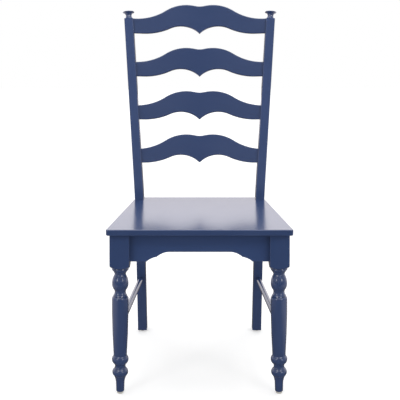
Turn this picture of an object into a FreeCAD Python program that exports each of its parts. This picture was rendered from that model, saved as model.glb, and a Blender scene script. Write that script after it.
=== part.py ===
import FreeCAD, Part
import math
import os
import Sketcher

# Ladderback dining chair in painted wood, in millimetres.
# +Z is up and the front faces -Y. The origin lies on the floor, at the middle of the plan.
# Left pieces stand at -X.

os.makedirs("parts", exist_ok=True)
doc = FreeCAD.newDocument("ladderback_chair")
sheet = doc.addObject("Spreadsheet::Sheet", "Sizes")
sheet_rows = []
V = FreeCAD.Vector
tiny = 0.05


# A length that keeps both its number and the sheet expression it comes from
class Size:
    def __init__(self, number, text):
        self.number = float(number)
        self.text = text

    def __add__(self, other):
        other = as_size(other)
        return Size(self.number + other.number, f"({self.text} + {other.text})")

    def __sub__(self, other):
        other = as_size(other)
        return Size(self.number - other.number, f"({self.text} - {other.text})")

    def __mul__(self, other):
        other = as_size(other)
        return Size(self.number * other.number, f"({self.text} * {other.text})")

    def __truediv__(self, other):
        other = as_size(other)
        return Size(self.number / other.number, f"({self.text} / {other.text})")

    def __neg__(self):
        return Size(-self.number, f"(0 - {self.text})")

    def __rmul__(self, other):
        return as_size(other) * self

    def __radd__(self, other):
        return as_size(other) + self

    def __rsub__(self, other):
        return as_size(other) - self


def as_size(amount):
    return amount if isinstance(amount, Size) else Size(amount, f"{amount}")


def root(size):
    return Size(math.sqrt(size.number), f"sqrt({size.text})")


def sine(angle):
    return Size(math.sin(math.radians(angle.number)), f"sin({angle.text} * 1 deg)")


def cosine(angle):
    return Size(math.cos(math.radians(angle.number)), f"cos({angle.text} * 1 deg)")


def tangent(angle):
    return Size(math.tan(math.radians(angle.number)), f"tan({angle.text} * 1 deg)")


def size(name, number):
    row = len(sheet_rows) + 1
    sheet_rows.append(name)
    sheet.set(f"A{row}", name)
    sheet.set(f"B{row}", str(number))
    sheet.setAlias(f"B{row}", name)
    return Size(number, f"Sizes.{name}")


# Seat
seat_height = size("seat_height", 457)
seat_thickness = size("seat_thickness", 16)
seat_width = size("seat_width", 479)
seat_side_taper = size("seat_side_taper", 44)
seat_depth = size("seat_depth", 430)
seat_corner_radius = size("seat_corner_radius", 7)
seat_edge_radius = size("seat_edge_radius", 3)
notch_gap = size("notch_gap", 0.3)
origin_setback = size("origin_setback", 270)

# Front legs. The turned lengths run down from the block's lower corner and up from the floor,
# and the tapered part of the column between them takes what is left.
leg_splay = size("leg_splay", 1)
leg_inset = size("leg_inset", 34.4)
leg_setback = size("leg_setback", 37)
block_width = size("block_width", 51)
block_arris = size("block_arris", 1.5)
pommel_length = size("pommel_length", 17.5)
pommel_arc_radius = size("pommel_arc_radius", 24)
ring_width = size("ring_width", 5.5)
ring_radius = size("ring_radius", 21.8)
ring_crown = size("ring_crown", 0.7)
ring_lip = size("ring_lip", 0.8)
upper_cove_length = size("upper_cove_length", 12.5)
upper_cove_arc_radius = size("upper_cove_arc_radius", 22)
upper_neck_radius = size("upper_neck_radius", 14.6)
bulb_upper_length = size("bulb_upper_length", 24.5)
bulb_lower_length = size("bulb_lower_length", 23)
bulb_radius = size("bulb_radius", 21.6)
bulb_lower_arc_radius = size("bulb_lower_arc_radius", 26)
bulb_root_length = size("bulb_root_length", 7)
bulb_root_swell = size("bulb_root_swell", 2.2)
bulb_root_arc_radius = size("bulb_root_arc_radius", 14)
lower_neck_radius = size("lower_neck_radius", 14.6)
lower_cove_length = size("lower_cove_length", 10.5)
lower_cove_arc_radius = size("lower_cove_arc_radius", 20)
collar_radius = size("collar_radius", 18.8)
groove_width = size("groove_width", 2)
groove_depth = size("groove_depth", 1.6)
column_shoulder_length = size("column_shoulder_length", 6)
column_shoulder_arc_radius = size("column_shoulder_arc_radius", 7.2)
column_lip = size("column_lip", 0.5)
column_radius = size("column_radius", 21.8)
column_straight_length = size("column_straight_length", 42.5)
column_swell = size("column_swell", 0.6)
column_foot_radius = size("column_foot_radius", 17.5)
upper_bead_length = size("upper_bead_length", 23)
upper_bead_radius = size("upper_bead_radius", 22)
bead_root_radius = size("bead_root_radius", 16.5)
bead_neck_length = size("bead_neck_length", 14)
bead_neck_radius = size("bead_neck_radius", 13.9)
lower_bead_length = size("lower_bead_length", 20)
lower_bead_radius = size("lower_bead_radius", 20.9)
foot_flare_length = size("foot_flare_length", 22.5)
ankle_height = size("ankle_height", 28)
ankle_radius = size("ankle_radius", 11.3)
foot_radius = size("foot_radius", 10.7)
foot_rounding = size("foot_rounding", 2.5)

# Rear posts
seat_rear_lap = size("seat_rear_lap", 46)
bend_below_seat = size("bend_below_seat", 5)
back_rise = size("back_rise", 540)
post_lower_rake = size("post_lower_rake", 12.9)
post_upper_rake = size("post_upper_rake", 11.5)
post_bend_run = size("post_bend_run", 50)
post_depth = size("post_depth", 38)
post_upper_taper = size("post_upper_taper", 0.7)
post_lower_taper = size("post_lower_taper", 0.5)
post_width = size("post_width", 26.4)
post_foot_flare = size("post_foot_flare", 0.3)
post_inset = size("post_inset", 5)
post_lower_splay = size("post_lower_splay", 0.65)
post_upper_splay = size("post_upper_splay", 3.6)
post_arris = size("post_arris", 1.6)

# Finials
finial_base_height = size("finial_base_height", 1.5)
finial_neck_radius = size("finial_neck_radius", 8.8)
finial_neck_height = size("finial_neck_height", 10.5)
finial_neck_arc_radius = size("finial_neck_arc_radius", 16)
finial_button_radius = size("finial_button_radius", 17.8)
finial_button_height = size("finial_button_height", 18.6)
finial_button_arc_radius = size("finial_button_arc_radius", 12)
finial_button_edge = size("finial_button_edge", 1)
finial_lip = size("finial_lip", 2.8)
finial_height = size("finial_height", 24.8)
finial_crown = size("finial_crown", 1)
finial_pin_radius = size("finial_pin_radius", 4.5)
finial_pin_length = size("finial_pin_length", 20)

# Back slats
slat_thickness = size("slat_thickness", 12)
slat_bow = size("slat_bow", 18)
slat_recess = size("slat_recess", 7)
slat_pin_wall = size("slat_pin_wall", 1.5)
slat_top_drop = size("slat_top_drop", 43.4)
slat_seat_gap = size("slat_seat_gap", 108.4)
slat_crest = size("slat_crest", 88.3)
slat_crest_step = size("slat_crest_step", 1)
slat_crest_spread = size("slat_crest_spread", 40)
slat_crest_radius = size("slat_crest_radius", 118)
slat_dip_depth = size("slat_dip_depth", 4.5)
slat_shoulder_radius = size("slat_shoulder_radius", 170)
slat_end_height = size("slat_end_height", 42.6)
slat_lobe_spread = size("slat_lobe_spread", 57)
slat_lobe_height = size("slat_lobe_height", 22.8)
slat_lobe_radius = size("slat_lobe_radius", 80)
slat_flare_radius = size("slat_flare_radius", 190)
slat_end_drop = size("slat_end_drop", 2)
slat_tip_radius = size("slat_tip_radius", 3)
slat_arris = size("slat_arris", 1.6)

# Seat frame
apron_thickness = size("apron_thickness", 20)
apron_recess = size("apron_recess", 16)
apron_end_depth = size("apron_end_depth", 75)
apron_cusp_depth = size("apron_cusp_depth", 62.5)
apron_centre_depth = size("apron_centre_depth", 49.3)
apron_foot_length = size("apron_foot_length", 67.6)
apron_bracket_length = size("apron_bracket_length", 26.5)
apron_cove_length = size("apron_cove_length", 30)
apron_cove_radius = size("apron_cove_radius", 52)
rear_apron_inset = size("rear_apron_inset", 30)
rear_apron_depth = size("rear_apron_depth", 56)
side_apron_depth = size("side_apron_depth", 62)
apron_arris = size("apron_arris", 1.5)
tenon_thickness = size("tenon_thickness", 9)
tenon_shoulder = size("tenon_shoulder", 7)
leg_tenon_reach = size("leg_tenon_reach", 17)
post_tenon_reach = size("post_tenon_reach", 11)
stretcher_height = size("stretcher_height", 190)
stretcher_radius = size("stretcher_radius", 8)
stretcher_pin_radius = size("stretcher_pin_radius", 6)
stretcher_pin_inset = size("stretcher_pin_inset", 5)
front_brace_leg = size("front_brace_leg", 92)
rear_brace_leg = size("rear_brace_leg", 72)
brace_height = size("brace_height", 28)

# Screws and glides
screw_radius = size("screw_radius", 2.2)
screw_head_radius = size("screw_head_radius", 4.2)
screw_head_height = size("screw_head_height", 2.4)
screw_head_edge = size("screw_head_edge", 1.2)
screw_gap = size("screw_gap", 0.15)
screw_bite = size("screw_bite", 10)
leg_screw_bite = size("leg_screw_bite", 16)
seat_screw_share = size("seat_screw_share", 0.6)
seat_screw_offset = size("seat_screw_offset", 0.25)
glide_height = size("glide_height", 5)
glide_radius = size("glide_radius", 8.5)
glide_edge = size("glide_edge", 1.2)
nail_radius = size("nail_radius", 1.1)
nail_head_radius = size("nail_head_radius", 2.8)
nail_head_height = size("nail_head_height", 1)
nail_recess = size("nail_recess", 1.2)
nail_length = size("nail_length", 16)
doc.recompute()


def bind(obj, prop, amount):
    setattr(obj, prop, amount.number)
    obj.setExpression(prop, amount.text)


# Rotation about an axis given by three lengths, then a move
def place(obj, x, y, z, axis=(0, 0, 1), angle=0):
    x, y, z, angle = as_size(x), as_size(y), as_size(z), as_size(angle)
    spin = ("; ").join(as_size(part).text for part in axis)
    obj.setExpression(
        "Placement",
        f"create(<<placement>>; create(<<vector>>; {x.text}; {y.text}; {z.text}); "
        f"create(<<rotation>>; create(<<vector>>; {spin}); {angle.text}))",
    )


def plane_of(body, role):
    return next(item for item in body.Origin.OriginFeatures if item.Role == role)


# One closed outline from its corner points. A point with a third number is reached by an arc
# of that radius, which turns left along the way if it is positive and right if negative.
def draw(sketch, points):
    edges = []
    for index, point in enumerate(points):
        start, goal = points[index - 1], point
        p = V(as_size(start[0]).number, as_size(start[1]).number, 0)
        q = V(as_size(goal[0]).number, as_size(goal[1]).number, 0)
        if len(point) == 2:
            edges.append((sketch.addGeometry(Part.LineSegment(p, q)), 1, 2))
        else:
            radius = as_size(point[2])
            edges.append(draw_arc(sketch, p, q, radius))
            size_text = radius.text if radius.number > 0 else (-radius).text
            constrain(sketch, size_text, "Radius", edges[-1][0], abs(radius.number))
    for index, (edge, _, end) in enumerate(edges):
        follower, begin, _ = edges[(index + 1) % len(edges)]
        sketch.addConstraint(Sketcher.Constraint("Coincident", edge, end, follower, begin))
        for kind, amount in zip(("DistanceX", "DistanceY"), points[index]):
            amount = as_size(amount)
            constrain(sketch, amount.text, kind, -1, 1, edge, end, amount.number)


def constrain(sketch, text, *terms):
    number = sketch.addConstraint(Sketcher.Constraint(*terms))
    sketch.setExpression(f"Constraints[{number}]", text)


def draw_arc(sketch, p, q, radius):
    chord = q - p
    reach = math.sqrt(max(radius.number ** 2 - chord.Length ** 2 / 4, 0))
    side = V(-chord.y, chord.x, 0).normalize()
    sign = 1 if radius.number > 0 else -1
    centre = (p + q) * 0.5 + side * reach * sign
    circle = Part.Circle(centre, V(0, 0, 1), abs(radius.number))
    a = math.atan2(p.y - centre.y, p.x - centre.x)
    b = math.atan2(q.y - centre.y, q.x - centre.x)
    if sign < 0:
        a, b = b, a
    if b < a:
        b += 2 * math.pi
    index = sketch.addGeometry(Part.ArcOfCircle(circle, a, b))
    return (index, 1, 2) if sign > 0 else (index, 2, 1)


def add_sketch(body, name, role, outlines, offset=0):
    sketch = body.newObject("Sketcher::SketchObject", name)
    sketch.AttachmentSupport = [(plane_of(body, role), "")]
    sketch.MapMode = "FlatFace"
    for points in outlines:
        draw(sketch, points)
    offset = as_size(offset)
    sketch.setExpression(".AttachmentOffset.Base.z", offset.text)
    return sketch


def add_body(name):
    return doc.addObject("PartDesign::Body", name)


def add_pad(body, name, role, outlines, length, offset=0, both=False):
    pad = body.newObject("PartDesign::Pad", f"{name}_pad")
    pad.Profile = add_sketch(body, f"{name}_outline", role, outlines, offset)
    pad.SideType = "Symmetric" if both else "One side"
    bind(pad, "Length", as_size(length))
    doc.recompute()
    return pad


# The body must lose volume, whichever way the cut runs
def add_pocket(body, name, role, outlines):
    before = body.Shape.Volume
    pocket = body.newObject("PartDesign::Pocket", f"{name}_cut")
    pocket.Profile = add_sketch(body, f"{name}_outline", role, outlines)
    pocket.Type = "ThroughAll"
    pocket.SideType = "Symmetric"
    doc.recompute()
    if not body.Shape.Volume < before:
        raise RuntimeError(f"{name} cuts nothing")
    return pocket


# Turned piece: half outline in the XZ plane, spun round Z
def add_turning(name, points):
    body = add_body(name)
    spin = body.newObject("PartDesign::Revolution", f"{name}_turning")
    spin.Profile = add_sketch(body, f"{name}_outline", "XZ_Plane", [points])
    spin.ReferenceAxis = (plane_of(body, "Z_Axis"), [""])
    spin.Angle = 360
    doc.recompute()
    return body


def add_fillet(body, name, radius, keep):
    return dress_edges(body, "PartDesign::Fillet", name, "Radius", radius, keep)


def add_chamfer(body, name, width, keep):
    return dress_edges(body, "PartDesign::Chamfer", name, "Size", width, keep)


def dress_edges(body, kind, name, prop, amount, keep):
    base = body.Tip
    edges = [f"Edge{i}" for i, edge in enumerate(body.Shape.Edges, 1) if keep(edge)]
    feature = body.newObject(kind, name)
    feature.Base = (base, edges)
    bind(feature, prop, amount)
    doc.recompute()
    return feature


def add_box(name, length, width, height):
    box = doc.addObject("Part::Box", name)
    bind(box, "Length", as_size(length))
    bind(box, "Width", as_size(width))
    bind(box, "Height", as_size(height))
    return box


def add_rod(name, radius, length):
    rod = doc.addObject("Part::Cylinder", name)
    bind(rod, "Radius", as_size(radius))
    bind(rod, "Height", as_size(length))
    return rod


def group(tools, name):
    if len(tools) == 1:
        return tools[0]
    union = doc.addObject("Part::Compound", name)
    union.Links = tools
    return union


def cut(name, base, tools):
    result = doc.addObject("Part::Cut", name)
    result.Base = base
    result.Tool = group(tools, f"{name}_tools")
    doc.recompute()
    return result


def fuse(name, base, tool):
    result = doc.addObject("Part::Fuse", name)
    result.Base = base
    result.Tool = tool
    result.Refine = True
    doc.recompute()
    return result


def common(name, base, tool):
    result = doc.addObject("Part::Common", name)
    result.Base = base
    result.Tool = tool
    doc.recompute()
    return result


def mirror(name, source):
    result = doc.addObject("Part::Mirroring", name)
    result.Source = source
    result.Normal = V(1, 0, 0)
    doc.recompute()
    return result


# Eased edges on a piece made by crossing or cutting
def soften(name, base, width, keep):
    result = doc.addObject("Part::Chamfer", name)
    result.Base = base
    result.Edges = [(index, width.number, width.number)
                    for index, edge in enumerate(base.Shape.Edges, 1) if keep(edge)]
    doc.recompute()
    return result


# Places along the seat frame, all measured from the values above
front = -origin_setback
seat_under = seat_height - seat_thickness
leg_line = front + leg_setback
leg_reach = seat_width / 2 - leg_inset
leg_floor_reach = leg_reach + seat_under * tangent(leg_splay)
post_setback = seat_depth - seat_rear_lap
post_bend_line = front + post_setback
post_bend_height = seat_height - bend_below_seat
post_top_height = seat_height + back_rise
post_reach = seat_width / 2 - seat_side_taper * post_setback / seat_depth - post_inset


# Radius of an arc of given chord and rise, and of one that starts along the axis
def arc_radius(chord, rise):
    return (chord * chord / 4 + rise * rise) / (rise * 2)


def arc_radius_from_tangent(across, along):
    return (across * across + along * along) / (across * 2)


# Front leg: a square block over a turned part, cut level at the foot and under the seat
def make_leg_blank():
    square = add_body("leg_square")
    half = block_width / 2
    add_pad(square, "leg_square", "XY_Plane",
            [[(-half, -half), (half, -half), (half, half), (-half, half)]], seat_height)
    add_fillet(square, "leg_square_arris", block_arris,
               lambda edge: edge.BoundBox.ZLength > block_width.number)
    block_corner = seat_under - apron_end_depth
    past_corners = block_width * 0.75
    ring_top = block_corner - pommel_length
    ring_bottom = ring_top - ring_width
    upper_neck = ring_bottom - upper_cove_length
    bulb_middle = upper_neck - bulb_upper_length
    lower_neck = bulb_middle - bulb_lower_length
    collar = lower_neck - lower_cove_length
    column_top = collar - groove_width
    column_full = column_top - column_straight_length
    lower_bead = ankle_height + foot_flare_length
    bead_neck_low = lower_bead + lower_bead_length
    bead_neck_high = bead_neck_low + bead_neck_length
    upper_bead = bead_neck_high + upper_bead_length
    turning = add_turning("leg_turning", [
        (0, 0),
        (foot_radius - foot_rounding, 0),
        (foot_radius - foot_rounding, glide_height),
        (foot_radius, glide_height + foot_rounding),
        (ankle_radius, ankle_height),
        (bead_root_radius, lower_bead,
         -arc_radius_from_tangent(bead_root_radius - ankle_radius, foot_flare_length)),
        (bead_root_radius, bead_neck_low,
         arc_radius(lower_bead_length, lower_bead_radius - bead_root_radius)),
        (bead_root_radius, bead_neck_high,
         -arc_radius(bead_neck_length, bead_root_radius - bead_neck_radius)),
        (column_foot_radius, upper_bead,
         arc_radius(upper_bead_length,
                    upper_bead_radius - (bead_root_radius + column_foot_radius) / 2)),
        ((column_foot_radius + column_radius) / 2 + column_swell,
         (upper_bead + column_full) / 2),
        (column_radius, column_full),
        (column_radius, column_top - column_shoulder_length),
        (collar_radius - column_lip, column_top, column_shoulder_arc_radius),
        (collar_radius - groove_depth, column_top + groove_width / 2),
        (collar_radius, collar),
        (lower_neck_radius, lower_neck, -lower_cove_arc_radius),
        (lower_neck_radius + bulb_root_swell, lower_neck + bulb_root_length,
         -bulb_root_arc_radius),
        (bulb_radius, bulb_middle, bulb_lower_arc_radius),
        (upper_neck_radius, upper_neck,
         arc_radius_from_tangent(bulb_radius - upper_neck_radius, bulb_upper_length)),
        (ring_radius, ring_bottom, -upper_cove_arc_radius),
        (ring_radius + ring_crown, ring_bottom + ring_width / 2),
        (ring_radius, ring_top),
        (ring_radius - ring_lip, ring_top),
        (past_corners, block_corner, pommel_arc_radius),
        (past_corners, seat_height),
        (0, seat_height),
    ])
    blank = common("leg_full_length", square, turning)
    place(blank, -leg_floor_reach, leg_line, 0, (0, 1, 0), leg_splay)
    slab = add_box("leg_level_cuts", block_width * 3, block_width * 3, seat_under - glide_height)
    place(slab, -leg_floor_reach - block_width, leg_line - block_width * 1.5, glide_height)
    return common("leg_blank", blank, slab)


# Rounded bend of a post edge: the lines below and above the corner lean the same way.
# Gives the two tangent points, from the bottom up, and the radius of the arc between them.
def bend(corner, low_angle, high_angle, lean=1):
    low = (corner + sine(low_angle) * post_bend_run * lean,
           post_bend_height - cosine(low_angle) * post_bend_run)
    high = (corner + sine(high_angle) * post_bend_run * lean,
            post_bend_height + cosine(high_angle) * post_bend_run)
    return low, high, post_bend_run / tangent((low_angle + high_angle) / 2)


# How far the arc of a bend stays behind its corner
def bend_drop(low_angle, high_angle):
    half = (low_angle + high_angle) / 2
    return post_bend_run * (1 - cosine(half)) / sine(half)


# Rear post: side outline with the rake below and above the seat, crossed with a front outline
def make_post_blank():
    drop = post_bend_height - glide_height
    top = post_top_height + post_width
    rise = top - post_bend_height
    face_low, face_high, face_radius = bend(post_bend_line, post_lower_rake, post_upper_rake)
    back_low, back_high, back_radius = bend(post_back_line, back_lower_rake, back_upper_rake)
    side = add_body("post_side")
    add_pad(side, "post_side", "YZ_Plane", [[
        (post_bend_line + drop * tangent(post_lower_rake), glide_height),
        (post_back_line + drop * tangent(back_lower_rake), glide_height),
        back_low,
        (*back_high, -back_radius),
        (post_back_line + rise * tangent(back_upper_rake), top),
        (post_bend_line + rise * tangent(post_upper_rake), top),
        face_high,
        (*face_low, face_radius),
    ]], post_reach * 1.5, offset=-post_reach * 1.5)
    outer_low, outer_high, outer_radius = bend(
        -post_reach, post_lower_splay, post_upper_splay, -1)
    inner_low, inner_high, inner_radius = bend(
        -post_inner_reach, inner_lower_splay, post_upper_splay, -1)
    face = add_body("post_front")
    add_pad(face, "post_front", "XZ_Plane", [[
        (-post_reach - drop * tangent(post_lower_splay), glide_height),
        (-post_inner_reach - drop * tangent(inner_lower_splay), glide_height),
        inner_low,
        (*inner_high, inner_radius),
        (-post_inner_reach - rise * tangent(post_upper_splay), top),
        (-post_reach - rise * tangent(post_upper_splay), top),
        outer_high,
        (*outer_low, -outer_radius),
    ]], seat_depth * 2, both=True)
    crossed = common("post_crossed", side, face)
    over = add_rod("post_top_cut", post_depth * 2, post_depth)
    place_on_post_top(over)
    trimmed = cut("post_cut_to_length", crossed, [over])
    return soften("post_blank", trimmed, post_arris, lambda edge: (
        edge.BoundBox.ZLength > post_width.number / 2
        or edge.BoundBox.ZMax > post_top_height.number - post_width.number / 2))


def place_on_post_top(obj):
    rise = post_top_height - post_bend_height
    outer = post_reach + rise * tangent(post_upper_splay)
    inner = post_inner_reach + rise * tangent(post_upper_splay)
    face = post_bend_line + rise * tangent(post_upper_rake)
    back = post_back_line + rise * tangent(back_upper_rake)
    across, along = tangent(post_upper_splay), tangent(post_upper_rake)
    tilt = root(across * across + along * along)
    place(obj, -(outer + inner) / 2, (face + back) / 2, post_top_height, (-along, -across, 0),
          Size(math.degrees(math.atan(tilt.number)), f"atan({tilt.text})"))


# Finial, with a pin that drops into the post top
def make_finial():
    finial = add_turning("finial_left", [
        (0, -finial_pin_length),
        (finial_pin_radius, -finial_pin_length),
        (finial_pin_radius, 0),
        (finial_base_radius, 0),
        (finial_base_radius, finial_base_height),
        (finial_neck_radius, finial_neck_height, -finial_neck_arc_radius),
        (finial_button_radius - finial_button_edge, finial_button_height,
         -finial_button_arc_radius),
        (finial_button_radius, finial_button_height + finial_lip / 2),
        (finial_button_radius - finial_button_edge, finial_button_height + finial_lip),
        (finial_button_radius / 2, finial_height - finial_crown),
        (0, finial_height),
    ])
    place_on_post_top(finial)
    return finial


# Back slat in its own frame: x across, y back from the posts' front faces, z up the rake.
# The double crest, the shoulders, the two lobes and the drop are arcs that meet tangentially.
def make_slat(name, step):
    crest = slat_crest - slat_crest_step * step
    end = slat_end_height - slat_crest_step * step
    sway = (slat_crest_spread * slat_crest_spread + slat_dip_depth * slat_dip_depth) / (
        slat_dip_depth * 2)
    dip_radius = sway - slat_crest_radius
    crest_centre = crest - slat_crest_radius
    reach = slat_crest_radius + slat_shoulder_radius
    fall = end + slat_shoulder_radius - crest_centre
    shoulder_run = root(reach * reach - fall * fall)
    shoulder_part = slat_crest_radius / reach
    dip_part = dip_radius / sway
    lobe_centre = slat_lobe_height - slat_lobe_radius
    lobe_reach = slat_lobe_radius + slat_flare_radius
    lobe_fall = slat_flare_radius - slat_end_drop - lobe_centre
    flare_run = root(lobe_reach * lobe_reach - lobe_fall * lobe_fall)
    flare_part = slat_lobe_radius / lobe_reach
    tip = lobe_centre + root(
        slat_lobe_radius * slat_lobe_radius - slat_lobe_spread * slat_lobe_spread)
    far = post_reach * 1.4
    flare = (slat_lobe_spread + flare_run * flare_part, lobe_centre + lobe_fall * flare_part)
    shoulder = (slat_crest_spread + shoulder_run * shoulder_part,
                crest_centre + fall * shoulder_part)
    dip = (slat_crest_spread * dip_part,
           crest - slat_dip_depth + dip_radius - (sway - slat_dip_depth) * dip_part)
    half = [
        (0, tip, -slat_lobe_radius),
        (*flare, -slat_lobe_radius),
        (slat_lobe_spread + flare_run, -slat_end_drop, slat_flare_radius),
        (far, -slat_end_drop),
        (far, end),
        (slat_crest_spread + shoulder_run, end),
        (*shoulder, -slat_shoulder_radius),
        (*dip, slat_crest_radius),
    ]
    other = [
        (-dip[0], dip[1], -dip_radius),
        (-shoulder[0], shoulder[1], slat_crest_radius),
        (-slat_crest_spread - shoulder_run, end, -slat_shoulder_radius),
        (-far, end),
        (-far, -slat_end_drop),
        (-slat_lobe_spread - flare_run, -slat_end_drop),
        (-flare[0], flare[1], slat_flare_radius),
    ]
    lowest = seat_height + slat_seat_gap
    highest = post_top_height - slat_top_drop
    height = (highest + (lowest - highest) * step / (slat_count - 1)
              + (slat_recess + slat_bow) * sine(post_upper_rake))
    end_rise = height - post_bend_height + (slat_end_height / 2) * cosine(post_upper_rake)
    half_length = post_inner_reach + end_rise * tangent(post_upper_splay) + slat_housing
    bow_radius = (half_length * half_length + slat_bow * slat_bow) / (slat_bow * 2)
    back = slat_recess + slat_thickness
    clear = back + slat_bow + slat_thickness
    body = add_body(name)
    add_pad(body, f"{name}_shape", "XZ_Plane", [half + other], clear * 2, both=True)
    add_pocket(body, f"{name}_bow", "XY_Plane", [
        [(-far * 1.1, -clear * 1.1), (far * 1.1, -clear * 1.1),
         (far * 1.1, clear * 1.1), (-far * 1.1, clear * 1.1)],
        [(-half_length, slat_recess), (half_length, slat_recess, -bow_radius),
         (half_length, back), (-half_length, back, bow_radius)],
    ])
    add_fillet(body, f"{name}_tip_round", slat_tip_radius, lambda edge: (
        edge.BoundBox.XLength < tiny and edge.BoundBox.ZLength < tiny
        and abs(edge.CenterOfMass.x) < tiny and edge.CenterOfMass.z < tip.number + tiny))
    add_chamfer(body, f"{name}_arris", slat_arris, lambda edge: edge.BoundBox.XLength > tiny)
    place(body, 0, post_bend_line + (height - post_bend_height) * tangent(post_upper_rake),
          height, (1, 0, 0), -post_upper_rake)
    return body


# Rail: a plank or rod that is scribed to its hosts, with its tenons added
def make_rail(name, plank, hosts, tenon):
    return fuse(name, cut(f"{name}_scribed", plank, hosts), tenon)


def make_front_apron():
    low = seat_under - apron_end_depth
    cusp = seat_under - apron_cusp_depth
    high = seat_under - apron_centre_depth
    apron_cusp_reach = apron_foot_reach - apron_bracket_length
    apron_flat_reach = apron_cusp_reach - apron_cove_length
    body = add_body("front_apron_plank")
    add_pad(body, "front_apron_plank", "XZ_Plane", [[
        (-leg_reach, seat_under),
        (-leg_reach, low),
        (-apron_foot_reach, low),
        (-apron_cusp_reach, cusp, -apron_cove_radius),
        (-apron_flat_reach, high, -apron_cove_radius),
        (apron_flat_reach, high),
        (apron_cusp_reach, cusp, -apron_cove_radius),
        (apron_foot_reach, low, -apron_cove_radius),
        (leg_reach, low),
        (leg_reach, seat_under),
    ]], apron_thickness, offset=-(apron_face + apron_thickness))
    add_fillet(body, "front_apron_arris", apron_arris, lambda edge: (
        edge.CenterOfMass.z < high.number + tiny
        and abs(edge.CenterOfMass.y - apron_face.number) < tiny
        and edge.BoundBox.XLength > tiny))
    return body


# Straight timber that starts at a point of the plan and runs along a heading from +X
def lay_box(name, x, y, heading, start, length, thickness, low, height):
    box = add_box(name, length, thickness, height)
    place(box,
          x + cosine(heading) * start + sine(heading) * thickness / 2,
          y + sine(heading) * start - cosine(heading) * thickness / 2,
          low, (0, 0, 1), heading)
    return box


def lay_rod(name, x, y, height, heading, start, length, radius):
    rod = add_rod(name, radius, length)
    place(rod, x + cosine(heading) * start, y + sine(heading) * start, height,
          (-sine(heading), cosine(heading), 0), 90)
    return rod


def heading_between(x1, y1, x2, y2):
    slope = (x2 - x1) / (y2 - y1)
    return Size(90 - math.degrees(math.atan(slope.number)), f"(90 - atan({slope.text}) / 1 deg)")


def distance(x1, y1, x2, y2):
    return root((x2 - x1) * (x2 - x1) + (y2 - y1) * (y2 - y1))


# Corner brace: a triangle in plan, one leg of it inside the apron and one inside the side apron
def make_corner_brace(name, x, y, leg, heading, hosts):
    body = add_body(f"{name}_triangle")
    add_pad(body, f"{name}_triangle", "XY_Plane", [[
        (x, y),
        (x + leg, y),
        (x + cosine(heading) * leg, y + sine(heading) * leg),
    ]], brace_height, offset=seat_under - brace_height)
    return cut(f"{name}_scribed", body, hosts)


# Screw along its own +Z: pan head below zero, shank above, and the hole it needs
def make_screw(name, length):
    return add_turning(name, [
        (0, -screw_head_height),
        (screw_head_radius - screw_head_edge, -screw_head_height),
        (screw_head_radius, -screw_head_height + screw_head_edge),
        (screw_head_radius, 0),
        (screw_radius, 0),
        (screw_radius, length - screw_radius * 2),
        (0, length),
    ])


def make_glide(name):
    return add_turning(name, [
        (nail_head_radius, 0),
        (glide_radius - glide_edge, 0),
        (glide_radius, glide_edge),
        (glide_radius, glide_height),
        (nail_radius, glide_height),
        (nail_radius, nail_recess + nail_head_height),
        (nail_head_radius, nail_recess + nail_head_height),
    ])


def make_nail(name):
    return add_turning(name, [
        (0, nail_recess),
        (nail_head_radius, nail_recess),
        (nail_head_radius, nail_recess + nail_head_height),
        (nail_radius, nail_recess + nail_head_height),
        (nail_radius, glide_height + nail_length - nail_radius * 3),
        (0, glide_height + nail_length),
    ])


# Named lines and places that several pieces share
post_inner_reach = post_reach - post_width
slat_housing = post_width / 2 - finial_pin_radius - slat_pin_wall
slat_count = 4
finial_base_radius = post_width / 2 - post_arris
inner_lower_splay = post_lower_splay - post_foot_flare
post_back_line = post_bend_line + post_depth / cosine(post_upper_rake)
back_lower_rake = post_lower_rake - post_lower_taper
back_upper_rake = post_upper_rake - post_upper_taper
post_centre_reach = post_reach - post_width / 2
apron_face = leg_line - block_width / 2 + apron_recess
apron_middle = apron_face + apron_thickness / 2
apron_foot_reach = leg_reach - apron_foot_length
rear_apron_line = post_bend_line + rear_apron_inset
side_heading = heading_between(-leg_reach, leg_line, -post_centre_reach, rear_apron_line)
side_length = distance(-leg_reach, leg_line, -post_centre_reach, rear_apron_line)

leg_blank = make_leg_blank()
post_blank = make_post_blank()
leg_blank_right = mirror("leg_blank_right", leg_blank)
post_blank_right = mirror("post_blank_right", post_blank)
finial_left = make_finial()
slats = [make_slat(f"back_slat_{index + 1}", index) for index in range(slat_count)]

# Seat frame rails
tenon_low = seat_under - apron_end_depth + tenon_shoulder
tenon_height = apron_end_depth - tenon_shoulder * 2
front_tenon = lay_box("front_tenon_left", -leg_reach, apron_middle, as_size(0),
                      block_width / 2 - leg_tenon_reach,
                      leg_reach - apron_foot_reach - block_width / 2 + leg_tenon_reach,
                      tenon_thickness, tenon_low, tenon_height)
front_tenons = group([front_tenon, mirror("front_tenon_right", front_tenon)], "front_tenons")
front_apron = make_rail("front_apron", make_front_apron(), [leg_blank, leg_blank_right],
                        front_tenons)
rear_low = seat_under - rear_apron_depth
rear_plank = lay_box("rear_apron_plank", -post_centre_reach, rear_apron_line, as_size(0), 0,
                     post_centre_reach * 2, apron_thickness, rear_low, rear_apron_depth)
rear_tenon = lay_box("rear_tenon", -post_inner_reach, rear_apron_line, as_size(0),
                     -post_tenon_reach, (post_inner_reach + post_tenon_reach) * 2,
                     tenon_thickness, rear_low + tenon_shoulder,
                     rear_apron_depth - tenon_shoulder * 2)
rear_apron = make_rail("rear_apron", rear_plank, [post_blank, post_blank_right], rear_tenon)
side_low = seat_under - side_apron_depth
side_plank = lay_box("side_apron_plank", -leg_reach, leg_line, side_heading, 0, side_length,
                     apron_thickness, side_low, side_apron_depth)
post_cover = rear_apron_line - post_bend_line
side_tenon_start = block_width / 2 - leg_tenon_reach
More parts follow.
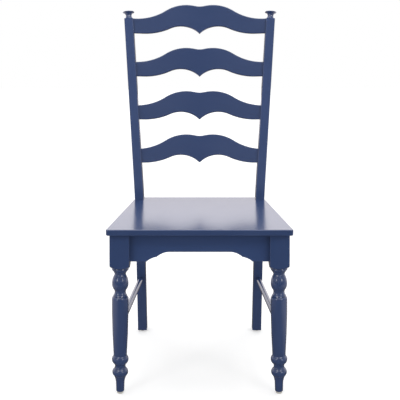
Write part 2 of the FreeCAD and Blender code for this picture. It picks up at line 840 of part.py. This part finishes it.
side_tenon = lay_box("side_tenon", -leg_reach, leg_line, side_heading, side_tenon_start,
                     side_length - side_tenon_start - post_cover + post_tenon_reach,
                     tenon_thickness, side_low + tenon_shoulder,
                     side_apron_depth - tenon_shoulder * 2)
side_apron_left = make_rail("side_apron_left", side_plank, [leg_blank, post_blank], side_tenon)

# Side stretcher: a round rod with thinner ends
stretcher_drop = post_bend_height - stretcher_height
stretcher_front_x = -(leg_floor_reach - stretcher_height * tangent(leg_splay))
stretcher_rear_x = -(post_centre_reach + stretcher_drop * (
    tangent(post_lower_splay) + tangent(inner_lower_splay)) / 2)
stretcher_rear_y = (post_bend_line + post_back_line + stretcher_drop * (
    tangent(post_lower_rake) + tangent(back_lower_rake))) / 2
stretcher_heading = heading_between(stretcher_front_x, leg_line,
                                    stretcher_rear_x, stretcher_rear_y)
stretcher_length = distance(stretcher_front_x, leg_line, stretcher_rear_x, stretcher_rear_y)
rod = lay_rod("stretcher_rod", stretcher_front_x, leg_line, stretcher_height,
              stretcher_heading, 0, stretcher_length, stretcher_radius)
rod_pin = lay_rod("stretcher_pin", stretcher_front_x, leg_line, stretcher_height,
                  stretcher_heading, stretcher_pin_inset,
                  stretcher_length - stretcher_pin_inset * 2, stretcher_pin_radius)
side_stretcher_left = make_rail("side_stretcher_left", rod, [leg_blank, post_blank], rod_pin)

# Seat, notched round the posts
notch_line = post_setback + bend_drop(post_lower_rake, post_upper_rake) - notch_gap
notch_reach = post_inner_reach + bend_drop(inner_lower_splay, post_upper_splay) - notch_gap
side_reach = seat_width / 2 - seat_side_taper * notch_line / seat_depth
seat_plank = add_body("seat_plank")
add_pad(seat_plank, "seat_plank", "XY_Plane", [[
    (-seat_width / 2, 0),
    (seat_width / 2, 0),
    (side_reach, notch_line),
    (notch_reach, notch_line),
    (notch_reach, seat_depth),
    (-notch_reach, seat_depth),
    (-notch_reach, notch_line),
    (-side_reach, notch_line),
]], seat_thickness)
add_fillet(seat_plank, "seat_corners", seat_corner_radius, lambda edge: (
    edge.BoundBox.ZLength > tiny and edge.CenterOfMass.y < tiny))
add_fillet(seat_plank, "seat_edges", seat_edge_radius, lambda edge: (
    edge.BoundBox.ZLength < tiny
    and (edge.CenterOfMass.y < notch_line.number - tiny
         or edge.CenterOfMass.y > seat_depth.number - tiny)))
place(seat_plank, 0, front, seat_under)

# Corner braces and their screws
brace_front = make_corner_brace("brace_front", -leg_reach, leg_line, front_brace_leg,
                                side_heading, [leg_blank, front_apron, side_apron_left])
brace_rear = make_corner_brace("brace_rear", -post_centre_reach, rear_apron_line,
                               rear_brace_leg, side_heading - 180,
                               [post_blank, rear_apron, side_apron_left])
screw_base = seat_under - brace_height
seat_screw_length = brace_height + screw_bite
seat_screws = []
seat_screw_holes = []
for corner, corner_x, corner_y, leg, turn in (
        ("front", -leg_reach, leg_line, front_brace_leg, 1),
        ("rear", -post_centre_reach, rear_apron_line, rear_brace_leg, -1)):
    spot = (corner_x + leg * seat_screw_share, corner_y + leg * seat_screw_offset * turn, screw_base)
    screw = make_screw(f"seat_screw_{corner}_left", seat_screw_length)
    place(screw, *spot)
    hole = add_rod(f"seat_screw_hole_{corner}_left", screw_radius + screw_gap,
                   seat_screw_length + screw_gap)
    place(hole, *spot)
    seat_screws += [screw, mirror(f"seat_screw_{corner}_right", screw)]
    seat_screw_holes += [hole, mirror(f"seat_screw_hole_{corner}_right", hole)]

# One longer screw through each front brace into the leg block, square to the brace's face
brace_face = front_brace_leg * root((1 + cosine(side_heading)) / 2)
leg_screw_heading = side_heading / 2
leg_screw_length = brace_face - block_width / math.sqrt(2) + leg_screw_bite
leg_screw_spot = (-leg_reach + cosine(leg_screw_heading) * brace_face,
                  leg_line + sine(leg_screw_heading) * brace_face,
                  seat_under - brace_height / 2)
leg_screw_axis = (-sine(leg_screw_heading), cosine(leg_screw_heading), 0)
leg_screw = make_screw("leg_screw_left", leg_screw_length)
place(leg_screw, *leg_screw_spot, leg_screw_axis, -90)
leg_screw_hole = add_rod("leg_screw_hole", screw_radius + screw_gap,
                         leg_screw_length + screw_gap)
place(leg_screw_hole, *leg_screw_spot, leg_screw_axis, -90)

# Glides, each held by a nail
foot_drop = post_bend_height - glide_height
rear_foot_x = -(post_centre_reach + foot_drop * (
    tangent(post_lower_splay) + tangent(inner_lower_splay)) / 2)
rear_foot_y = (post_bend_line + post_back_line + foot_drop * (
    tangent(post_lower_rake) + tangent(back_lower_rake))) / 2
glides = {}
nails = []
nail_holes = {}
for corner, foot_x, foot_y in (("front", -leg_floor_reach, leg_line),
                               ("rear", rear_foot_x, rear_foot_y)):
    glide = make_glide(f"foot_glide_{corner}_left")
    nail = make_nail(f"glide_nail_{corner}_left")
    hole = add_rod(f"glide_nail_hole_{corner}", nail_radius, nail_length)
    place(glide, foot_x, foot_y, 0)
    place(nail, foot_x, foot_y, 0)
    place(hole, foot_x, foot_y, glide_height)
    glides[f"foot_glide_{corner}_left"] = glide
    glides[f"foot_glide_{corner}_right"] = mirror(f"foot_glide_{corner}_right", glide)
    nails += [nail, mirror(f"glide_nail_{corner}_right", nail)]
    nail_holes[corner] = hole

# The finished pieces, with their mortises and holes
front_leg_left = cut("front_leg_left", leg_blank,
                     [front_tenon, side_tenon, rod_pin, leg_screw_hole, nail_holes["front"]])
rear_post_left = cut("rear_post_left", post_blank,
                     [finial_left, *slats, rear_tenon, side_tenon, rod_pin, nail_holes["rear"]])
brace_front_left = cut("corner_block_front_left", brace_front,
                       [seat_screw_holes[0], leg_screw_hole])
brace_rear_left = cut("corner_block_rear_left", brace_rear, [seat_screw_holes[2]])
pieces = {
    "seat_board": cut("seat_board", seat_plank, seat_screw_holes),
    "front_leg_left": front_leg_left,
    "front_leg_right": mirror("front_leg_right", front_leg_left),
    "rear_post_left": rear_post_left,
    "rear_post_right": mirror("rear_post_right", rear_post_left),
    "finial_left": finial_left,
    "finial_right": mirror("finial_right", finial_left),
    **{slat.Name: slat for slat in slats},
    "front_apron": front_apron,
    "rear_apron": rear_apron,
    "side_apron_left": side_apron_left,
    "side_apron_right": mirror("side_apron_right", side_apron_left),
    "side_stretcher_left": side_stretcher_left,
    "side_stretcher_right": mirror("side_stretcher_right", side_stretcher_left),
    "corner_block_front_left": brace_front_left,
    "corner_block_front_right": mirror("corner_block_front_right", brace_front_left),
    "corner_block_rear_left": brace_rear_left,
    "corner_block_rear_right": mirror("corner_block_rear_right", brace_rear_left),
    "seat_screws": group(seat_screws, "seat_screws"),
    "leg_screws": group([leg_screw, mirror("leg_screw_right", leg_screw)], "leg_screws"),
    **glides,
    "glide_nails": group(nails, "glide_nails"),
}
doc.recompute()

for obj in doc.Objects:
    if "Invalid" in obj.State or "Error" in obj.State:
        raise RuntimeError(f"{obj.Name} failed: {obj.State}")
for name, piece in pieces.items():
    if piece.Shape.isNull() or not piece.Shape.isValid() or not piece.Shape.Solids:
        raise RuntimeError(f"{name} has no valid shape")
    piece.Label = name
for name, piece in pieces.items():
    piece.Shape.exportStep(f"parts/{name}.step")
    box = piece.Shape.optimalBoundingBox()
    print(f"{name}: {len(piece.Shape.Solids)} solid, {piece.Shape.Volume:.0f} mm3, "
          f"x {box.XMin:.1f} {box.XMax:.1f} y {box.YMin:.1f} {box.YMax:.1f} "
          f"z {box.ZMin:.1f} {box.ZMax:.1f}")
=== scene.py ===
import math

import bpy
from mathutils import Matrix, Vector

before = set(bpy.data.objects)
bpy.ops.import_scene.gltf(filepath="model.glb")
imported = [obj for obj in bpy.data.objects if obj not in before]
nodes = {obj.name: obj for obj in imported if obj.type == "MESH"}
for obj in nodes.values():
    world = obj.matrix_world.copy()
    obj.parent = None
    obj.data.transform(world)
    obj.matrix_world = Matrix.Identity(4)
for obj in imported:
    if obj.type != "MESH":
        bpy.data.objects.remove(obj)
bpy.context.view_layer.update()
print("frame loaded:", len(nodes), "nodes")


# sRGB hex to linear colour; a lift above 1 makes it lighter
def hexColour(text, lift=1.0):
    values = [int(text[i:i + 2], 16) / 255 for i in (1, 3, 5)]
    linear = [v / 12.92 if v <= 0.04045 else ((v + 0.055) / 1.055) ** 2.4 for v in values]
    return [v * lift for v in linear] + [1.0]


# Adds a node. Its inputs are given in order or by name or number, and each one is a value, an
# output socket, or a node whose first output is meant. A Mix node has its factor at 0, numbers
# at 2 and 3 and colours at 6 and 7, and its colour comes out at 2
def addNode(tree, kind, inputs=(), **settings):
    node = tree.nodes.new("ShaderNode" + kind)
    for key, value in settings.items():
        setattr(node, key, value)
    for key, value in inputs.items() if isinstance(inputs, dict) else enumerate(inputs):
        if isinstance(value, bpy.types.Node):
            value = value.outputs[0]
        if isinstance(value, bpy.types.NodeSocket):
            tree.links.new(value, node.inputs[key])
        else:
            node.inputs[key].default_value = value
    return node


def newMaterial(name):
    material = bpy.data.materials.new(name)
    material.use_nodes = True
    material.node_tree.nodes.clear()
    return material, material.node_tree


# Noise with a grain of so many millimetres along x, y and z, shifted by its seed
def addGrain(tree, place, sizes, seed, detail, rough=0.5):
    shift = (seed, seed * 0.37, seed * 0.71)
    scales = [1000 / size for size in sizes]
    mapped = addNode(tree, "Mapping", {"Vector": place, "Location": shift, "Scale": scales})
    return addNode(tree, "TexNoise", {"Vector": mapped, "Scale": 1.0, "Detail": detail,
                                      "Roughness": rough})


# The sizes of a wood grain: long along one axis, fine across it on the other two
def grainSizes(axis, across, along):
    return [along if name == axis else across for name in "xyz"]


def dress(node, material):
    for slot in nodes[node].material_slots:
        slot.material = material


# Sizes are in millimetres, the pairs across and along the grain. Real pores are about 0.3 mm
# wide, drawn coarser so that they show; the peel is the dimpled skin that a spray gun leaves
paint = {
    "navy": "#304269", "deep": "#2b3d63", "cloud": (71.4, 200), "cloudSpan": (0.1, 0.9),
    "thin": "#43547f", "thinShow": 0.15, "arris": 0.6, "arrisTurn": (0.995, 0.86),
    "pore": (1.111, 38.5), "poreRough": 0.62, "poreSpan": (0.5, 0.72), "poreDepth": -0.55,
    "peel": 3.03, "peelSpan": (0.3, 0.7), "peelHeight": 0.4,
    "bump": 0.2, "bumpDepth": 0.05, "ior": 1.5, "seedStep": 5.3,
}

# Roughness of the colour coat with its spread, and of the coat over it. Boards keep a little of
# the grain under the paint, the small turned rods come out slicker
boardGloss = {"base": 0.21, "spread": 0.04, "coat": 0.14}
seatGloss = {"base": 0.25, "spread": 0.04, "coat": 0.17}
rodGloss = {"base": 0.12, "spread": 0.02, "coat": 0.06}

# The seat shines as if hand sanding had let its top fall towards the front edge, along a rounded
# curve that reaches 1.3 degrees there. Start, edge and reach are metres along y
seatFall = {"start": 0.08, "edge": -0.27, "reach": 0.13, "slope": 0.0238}


# Semi-gloss navy enamel, sprayed in two coats over sanded and filled hardwood: the eye gets an
# even dark blue, a soft mirror at low angles, faint long pores and a thin lighter line on arrises
def sprayedEnamel(name, seed, grain, gloss=boardGloss, lift=1.0, fall=None):
    material, tree = newMaterial(name)
    place = addNode(tree, "TexCoord").outputs["Object"]
    cloud = addGrain(tree, place, grainSizes(grain, *paint["cloud"]), seed, detail=2.0)
    pores = addGrain(tree, place, grainSizes(grain, *paint["pore"]), seed + 3, detail=4.0,
                     rough=paint["poreRough"])
    peel = addGrain(tree, place, [paint["peel"]] * 3, seed + 7, detail=2.0)
    rounded = addNode(tree, "Bevel", {"Radius": paint["arris"] / 1000}, samples=6)
    skin = rounded
    if fall:
        depth = addNode(tree, "SeparateXYZ", [place]).outputs["Y"]
        run = addNode(tree, "MapRange", [depth, fall["edge"], fall["start"],
                                         (fall["edge"] - fall["start"]) / fall["reach"], 0.0])
        level = addNode(tree, "Math", [run], operation="EXPONENT")
        leanY = addNode(tree, "Math", [level, fall["slope"], -fall["slope"]],
                        operation="MULTIPLY_ADD")
        lean = addNode(tree, "CombineXYZ", {"Y": leanY})
        skin = addNode(tree, "VectorMath", [rounded, lean], operation="ADD")

    facing = addNode(tree, "VectorMath",
                     [rounded, addNode(tree, "NewGeometry").outputs["Normal"]],
                     operation="DOT_PRODUCT").outputs["Value"]
    arris = addNode(tree, "MapRange", [facing, *paint["arrisTurn"], 0.0, paint["thinShow"]])
    drift = addNode(tree, "MapRange", [cloud, *paint["cloudSpan"], 0.0, 1.0])
    # A lift other than 1 is painted light: a lighter or darker paint standing in for the light the
    # piece gets
    tone = addNode(tree, "Mix", {0: drift, 6: hexColour(paint["deep"], lift),
                                 7: hexColour(paint["navy"], lift)}, data_type="RGBA")
    colour = addNode(tree, "Mix", {0: arris, 6: tone.outputs[2], 7: hexColour(paint["thin"])},
                     data_type="RGBA")

    sunk = addNode(tree, "MapRange", [pores, *paint["poreSpan"], 0.0, paint["poreDepth"]])
    raised = addNode(tree, "MapRange", [peel, *paint["peelSpan"], 0.0, paint["peelHeight"]])
    height = addNode(tree, "Math", [sunk, 1.0, raised], operation="MULTIPLY_ADD")
    bump = addNode(tree, "Bump", {"Strength": paint["bump"], "Height": height, "Normal": skin,
                                  "Distance": paint["bumpDepth"] / 1000})
    rough = addNode(tree, "MapRange", [cloud, *paint["cloudSpan"], gloss["base"] - gloss["spread"],
                                       gloss["base"] + gloss["spread"]])
    shader = addNode(tree, "BsdfPrincipled", {
        "Base Color": colour.outputs[2], "Roughness": rough, "IOR": paint["ior"],
        "Coat Weight": 1.0, "Coat IOR": paint["ior"], "Coat Roughness": gloss["coat"],
        "Normal": bump, "Coat Normal": bump})
    addNode(tree, "OutputMaterial", [shader])
    return material


# The grain's axis on each painted piece, and what sets it apart. Each lift is painted light: it
# scales the paint to stand in for the light the piece gets. It lifts the front apron out of the
# shade under the seat's overhang, lightens the rear posts a little and darkens the three upper
# slats
enamelPieces = {
    "seat_board": {"grain": "y", "gloss": seatGloss, "fall": seatFall},
    # Painted light: the apron's paint is made lighter to offset the seat's shade over it
    "front_apron": {"grain": "x", "lift": 1.14},
    "rear_apron": {"grain": "x"},
    "side_apron_left": {"grain": "y"},
    "side_apron_right": {"grain": "y"},
    "side_stretcher_left": {"grain": "y", "gloss": rodGloss},
    "side_stretcher_right": {"grain": "y", "gloss": rodGloss},
    "front_leg_left": {"grain": "z"},
    "front_leg_right": {"grain": "z"},
    "rear_post_left": {"grain": "z", "lift": 1.07},
    "rear_post_right": {"grain": "z", "lift": 1.07},
    "finial_left": {"grain": "z"},
    "finial_right": {"grain": "z"},
    "back_slat_1": {"grain": "x", "lift": 0.93},
    "back_slat_2": {"grain": "x", "lift": 0.93},
    "back_slat_3": {"grain": "x", "lift": 0.94},
    "back_slat_4": {"grain": "x"},
}
for index, (name, piece) in enumerate(enamelPieces.items()):
    dress(name, sprayedEnamel("enamel_" + name, index * paint["seedStep"], **piece))
print("enamel on", len(enamelPieces), "pieces")


# Sizes are in millimetres, the pairs across and along the grain. The flecks are the wood's rays,
# about 0.2 mm wide, drawn coarser so that they show
beech = {
    "dark": "#b98d5e", "light": "#d8b68a", "bands": (8.33, 111), "rampEnds": (0.3, 0.72),
    "fleck": "#8c6238", "flecks": (0.714, 4.76), "fleckSpan": (0.6, 0.72), "fleckShow": 0.5,
    "roughSpan": (0.3, 0.7), "rough": (0.62, 0.74), "bump": 0.4, "bumpDepth": 0.1, "ior": 1.5,
    "seedStep": 4.1,
}


# Planed beech left unpainted inside the seat frame: pale tan, short darker flecks along the grain
def planedBeech(name, seed):
    material, tree = newMaterial(name)
    place = addNode(tree, "TexCoord").outputs["Object"]
    bands = addGrain(tree, place, grainSizes("x", *beech["bands"]), seed, detail=3.0)
    flecks = addGrain(tree, place, grainSizes("x", *beech["flecks"]), seed + 2, detail=2.0)
    wood = addNode(tree, "ValToRGB", [bands])
    ends = zip(wood.color_ramp.elements, beech["rampEnds"], (beech["dark"], beech["light"]))
    for element, position, colour in ends:
        element.position = position
        element.color = hexColour(colour)
    show = addNode(tree, "MapRange", [flecks, *beech["fleckSpan"], 0.0, beech["fleckShow"]])
    flecked = addNode(tree, "Mix", {0: show, 6: wood, 7: hexColour(beech["fleck"])},
                      data_type="RGBA")
    bump = addNode(tree, "Bump", {"Strength": beech["bump"], "Height": flecks,
                                  "Distance": beech["bumpDepth"] / 1000})
    rough = addNode(tree, "MapRange", [bands, *beech["roughSpan"], *beech["rough"]])
    shader = addNode(tree, "BsdfPrincipled", {"Base Color": flecked.outputs[2],
                                              "IOR": beech["ior"], "Roughness": rough,
                                              "Normal": bump})
    addNode(tree, "OutputMaterial", [shader])
    return material


corners = ("front_left", "front_right", "rear_left", "rear_right")
for index, corner in enumerate(corners):
    dress("corner_block_" + corner, planedBeech("beech_" + corner, index * beech["seedStep"]))
print("beech on", len(corners), "corner blocks")


# Sizes are in millimetres. The skin's grit is about 0.1 mm, drawn coarser so that it shows
nylon = {
    "clean": "#d9d6cf", "worn": "#b5b0a6", "scuff": (3.85, 3.85, 11.1), "scuffRough": 0.7,
    "wornSpan": (0.52, 0.7), "wornShow": 0.6, "roughSpan": (0.4, 0.7), "rough": (0.38, 0.55),
    "skin": 0.385, "bump": 0.3, "bumpDepth": 0.06, "ior": 1.53,
}


# Moulded nylon glide: warm off-white with a fine matt skin and faint scuffs from the floor
def mouldedNylon(name):
    material, tree = newMaterial(name)
    place = addNode(tree, "TexCoord").outputs["Object"]
    scuff = addGrain(tree, place, nylon["scuff"], seed=2.0, detail=4.0,
                     rough=nylon["scuffRough"])
    skin = addGrain(tree, place, [nylon["skin"]] * 3, seed=5.0, detail=2.0)
    worn = addNode(tree, "MapRange", [scuff, *nylon["wornSpan"], 0.0, nylon["wornShow"]])
    colour = addNode(tree, "Mix", {0: worn, 6: hexColour(nylon["clean"]),
                                   7: hexColour(nylon["worn"])}, data_type="RGBA")
    bump = addNode(tree, "Bump", {"Strength": nylon["bump"], "Height": skin,
                                  "Distance": nylon["bumpDepth"] / 1000})
    rough = addNode(tree, "MapRange", [scuff, *nylon["roughSpan"], *nylon["rough"]])
    shader = addNode(tree, "BsdfPrincipled", {"Base Color": colour.outputs[2],
                                              "IOR": nylon["ior"], "Roughness": rough,
                                              "Normal": bump})
    addNode(tree, "OutputMaterial", [shader])
    return material


glideNylon = mouldedNylon("glide_nylon")
for corner in corners:
    dress("foot_glide_" + corner, glideNylon)


# The mottle is the size in millimetres of the patches that plating leaves
zinc = {
    "dull": "#b9bcc0", "bright": "#d2d3d2", "mottle": 1.43, "toneSpan": (0.35, 0.65),
    "roughSpan": (0.3, 0.7), "rough": (0.26, 0.4),
}


# Bright zinc plate on drawn steel: bluish grey, slightly uneven gloss
def zincPlate(name):
    material, tree = newMaterial(name)
    place = addNode(tree, "TexCoord").outputs["Object"]
    mottle = addGrain(tree, place, [zinc["mottle"]] * 3, seed=1.0, detail=3.0)
    tone = addNode(tree, "MapRange", [mottle, *zinc["toneSpan"], 0.0, 1.0])
    colour = addNode(tree, "Mix", {0: tone, 6: hexColour(zinc["dull"]),
                                   7: hexColour(zinc["bright"])}, data_type="RGBA")
    rough = addNode(tree, "MapRange", [mottle, *zinc["roughSpan"], *zinc["rough"]])
    shader = addNode(tree, "BsdfPrincipled", {"Base Color": colour.outputs[2],
                                              "Metallic": 1.0, "Roughness": rough})
    addNode(tree, "OutputMaterial", [shader])
    return material


zincSteel = zincPlate("zinc_steel")
for name in ("seat_screws", "leg_screws", "glide_nails"):
    dress(name, zincSteel)
print("nylon and zinc on the glides, screws and nails")


backdrop = "#fffaff"

# The paper's colours, its fibre in millimetres, and the glow that only the lens sees, which
# rises from near to far. The rest is how bright gloss sees the floor: y from front to back, x
# from the middle to the sides, in metres
floorPaper = {
    "half": 14, "colours": ("#cdcdcd", "#d0d0d0"), "fibre": 16.67,
    "glowReach": (1.5, 6.0), "glow": (0.48, 0.7),
    "frontReach": (-1.5, -0.8), "front": (0.03, 0.13),
    "backReach": (0.3, 1.6), "back": 0.15,
    "sideReach": (0.25, 0.75), "side": 0.5, "sideBackReach": (0.2, 1.2),
}


# White sweep: a matt floor that keeps the chair's soft shadow and reads white to the lens
def addFloor():
    half = floorPaper["half"]
    mesh = bpy.data.meshes.new("floor")
    mesh.from_pydata([(-half, -half, 0), (half, -half, 0), (half, half, 0), (-half, half, 0)],
                     [], [(0, 1, 2, 3)])
    floor = bpy.data.objects.new("floor", mesh)
    bpy.context.scene.collection.objects.link(floor)

    material, tree = newMaterial("floor_paper")
    path = addNode(tree, "LightPath").outputs
    place = addNode(tree, "TexCoord").outputs["Object"]
    fibre = addGrain(tree, place, [floorPaper["fibre"]] * 3, seed=4.0, detail=2.0)
    dark, light = (hexColour(colour) for colour in floorPaper["colours"])
    paper = addNode(tree, "Mix", {0: fibre, 6: dark, 7: light}, data_type="RGBA")
    matt = addNode(tree, "BsdfDiffuse", {"Color": paper.outputs[2]})
    away = addNode(tree, "VectorMath", [place], operation="LENGTH").outputs["Value"]
    lift = addNode(tree, "MapRange", [away, *floorPaper["glowReach"], *floorPaper["glow"]])
    lensLift = addNode(tree, "Math", [lift, path["Is Camera Ray"]], operation="MULTIPLY")
    glow = addNode(tree, "Emission", {"Color": (1, 1, 1, 1), "Strength": lensLift})
    both = addNode(tree, "AddShader", [matt, glow])

    spot = addNode(tree, "SeparateXYZ", [place]).outputs
    front = addNode(tree, "MapRange", [spot["Y"], *floorPaper["frontReach"],
                                       *floorPaper["front"]])
    back = addNode(tree, "MapRange", [spot["Y"], *floorPaper["backReach"], 0.0,
                                      floorPaper["back"]])
    aside = addNode(tree, "Math", [spot["X"]], operation="ABSOLUTE")
    side = addNode(tree, "MapRange", [aside, *floorPaper["sideReach"], 0.0, floorPaper["side"]])
    sideNear = addNode(tree, "MapRange", [spot["Y"], *floorPaper["frontReach"], 0.0, 1.0])
    sideFar = addNode(tree, "MapRange", [spot["Y"], *floorPaper["sideBackReach"], 0.0, 1.0])
    sideRise = addNode(tree, "Math", [sideNear, sideFar], operation="ADD")
    flank = addNode(tree, "Math", [side, sideRise], operation="MULTIPLY")
    brighter = addNode(tree, "Math", [back, flank], operation="MAXIMUM")
    strength = addNode(tree, "Math", [brighter, front], operation="MAXIMUM")
    mirrored = addNode(tree, "Emission", {"Color": hexColour(backdrop), "Strength": strength})
    surface = addNode(tree, "MixShader", [path["Is Glossy Ray"], both, mirrored])
    addNode(tree, "OutputMaterial", [surface])
    mesh.materials.append(material)


# Light from all round for matt surfaces, and how bright gloss sees the walls. The reaches are
# the z, y and distance from x = 0 of a direction of length 1: z of 0.2 is 12 degrees up
room = {
    "ambient": 0.88,
    "fadeReach": (0.2, 0.28), "upper": 0.88,
    "frontReach": (-0.5, 0.4), "front": 0.25, "lensReach": (0.0, 0.1), "lens": 0.1,
    "lowReach": (0.02, 0.15), "low": 0.15, "sideReach": (0.1, 0.25), "side": 0.9,
    "ceilingReach": (0.45, 0.8), "ceiling": 0.65,
}


# Bright walls all round, as gloss sees them: dim in front, darkest straight behind the lens, and
# dim in a low band that is open at the sides. The lens itself sees white
def addWorld():
    world = bpy.data.worlds.new("studio")
    bpy.context.scene.world = world
    world.use_nodes = True
    tree = world.node_tree
    tree.nodes.clear()
    path = addNode(tree, "LightPath").outputs
    place = addNode(tree, "TexCoord").outputs["Generated"]
    way = addNode(tree, "SeparateXYZ", [place]).outputs
    aside = addNode(tree, "Math", [way["X"]], operation="ABSOLUTE")
    fade = addNode(tree, "MapRange", [way["Z"], *room["fadeReach"], 1.0, room["upper"]])
    lens = addNode(tree, "MapRange", [aside, *room["lensReach"], room["lens"], room["front"]])
    around = addNode(tree, "MapRange", [way["Y"], *room["frontReach"], lens, 1.0])
    front = addNode(tree, "Math", [fade, around], operation="MULTIPLY")
    low = addNode(tree, "MapRange", [way["Z"], *room["lowReach"], room["low"], 1.0])
    side = addNode(tree, "MapRange", [aside, *room["sideReach"], 0.0, room["side"]])
    opening = addNode(tree, "Math", [low, side], operation="MAXIMUM")
    wall = addNode(tree, "Math", [front, opening], operation="MULTIPLY")
    ceiling = addNode(tree, "MapRange", [way["Z"], *room["ceilingReach"], 0.0, room["ceiling"]])
    glossy = addNode(tree, "Math", [wall, ceiling], operation="MAXIMUM")
    plain = addNode(tree, "Mix", {0: path["Is Glossy Ray"], 2: room["ambient"], 3: glossy},
                    data_type="FLOAT")
    seen = addNode(tree, "Math", [path["Is Camera Ray"], path["Is Transmission Ray"]],
                   operation="MAXIMUM")
    level = addNode(tree, "Mix", {0: seen, 2: plain, 3: 1.0}, data_type="FLOAT")
    tint = addNode(tree, "Mix", {0: path["Is Glossy Ray"], 6: (1, 1, 1, 1),
                                 7: hexColour(backdrop)}, data_type="RGBA")
    light = addNode(tree, "Background", {"Color": tint.outputs[2], "Strength": level})
    addNode(tree, "OutputWorld", [light])


# Places, targets and sizes in metres, spread in degrees. The low and high ones stand on both
# sides; the low ones are small, so that the seat doesn't mirror a white sheet from behind
softboxes = {
    "softbox_low": {"place": (2.2, -2.6, 1.1), "target": (0, 0, 0.5), "size": (0.6, 0.8),
                    "watts": 7.5, "spread": 180},
    "softbox_high": {"place": (1.5, -2.0, 2.9), "target": (0, 0.2, 1.0), "size": (0.9, 0.9),
                     "watts": 1.8, "spread": 50},
    "softbox_back": {"place": (0, 4.0, 1.8), "target": (0, 0, 0.5), "size": (5.0, 0.8),
                     "watts": 5, "spread": 180},
    "softbox_top": {"place": (0, 0.3, 3.6), "target": (0, 0.1, 0), "size": (2.6, 2.6),
                    "watts": 45, "spread": 180},
}


def addSoftbox(name, side=1):
    box = softboxes[name]
    lamp = bpy.data.lights.new(name, "AREA")
    lamp.shape = "RECTANGLE"
    lamp.size, lamp.size_y = box["size"]
    lamp.energy = box["watts"]
    lamp.spread = math.radians(box["spread"])
    place = Vector((side * box["place"][0], *box["place"][1:]))
    aim = Vector(box["target"]) - place
    holder = bpy.data.objects.new(name, lamp)
    holder.location = place
    holder.rotation_euler = aim.to_track_quat("-Z", "Y").to_euler()
    bpy.context.scene.collection.objects.link(holder)


addFloor()
addWorld()
for side in (-1, 1):
    addSoftbox("softbox_low", side)
    addSoftbox("softbox_high", side)
addSoftbox("softbox_back")
addSoftbox("softbox_top")
print("studio ready")


# The photograph's camera, fitted to it: lens and sensor in millimetres, tilt in degrees down
view = {"lens": 70, "sensor": 36, "shift": (0.001, -0.05), "farEnd": 60,
        "place": (0, -2.1896, 0.9212), "tilt": 9.917}


def addCamera():
    data = bpy.data.cameras.new("camera")
    data.lens = view["lens"]
    data.sensor_width = view["sensor"]
    data.shift_x, data.shift_y = view["shift"]
    data.clip_end = view["farEnd"]
    camera = bpy.data.objects.new("camera", data)
    camera.location = view["place"]
    camera.rotation_euler = (math.radians(90 - view["tilt"]), 0, 0)
    bpy.context.scene.collection.objects.link(camera)
    bpy.context.scene.camera = camera


addCamera()
bpy.context.scene.view_settings.view_transform = "Standard"
print("camera ready")
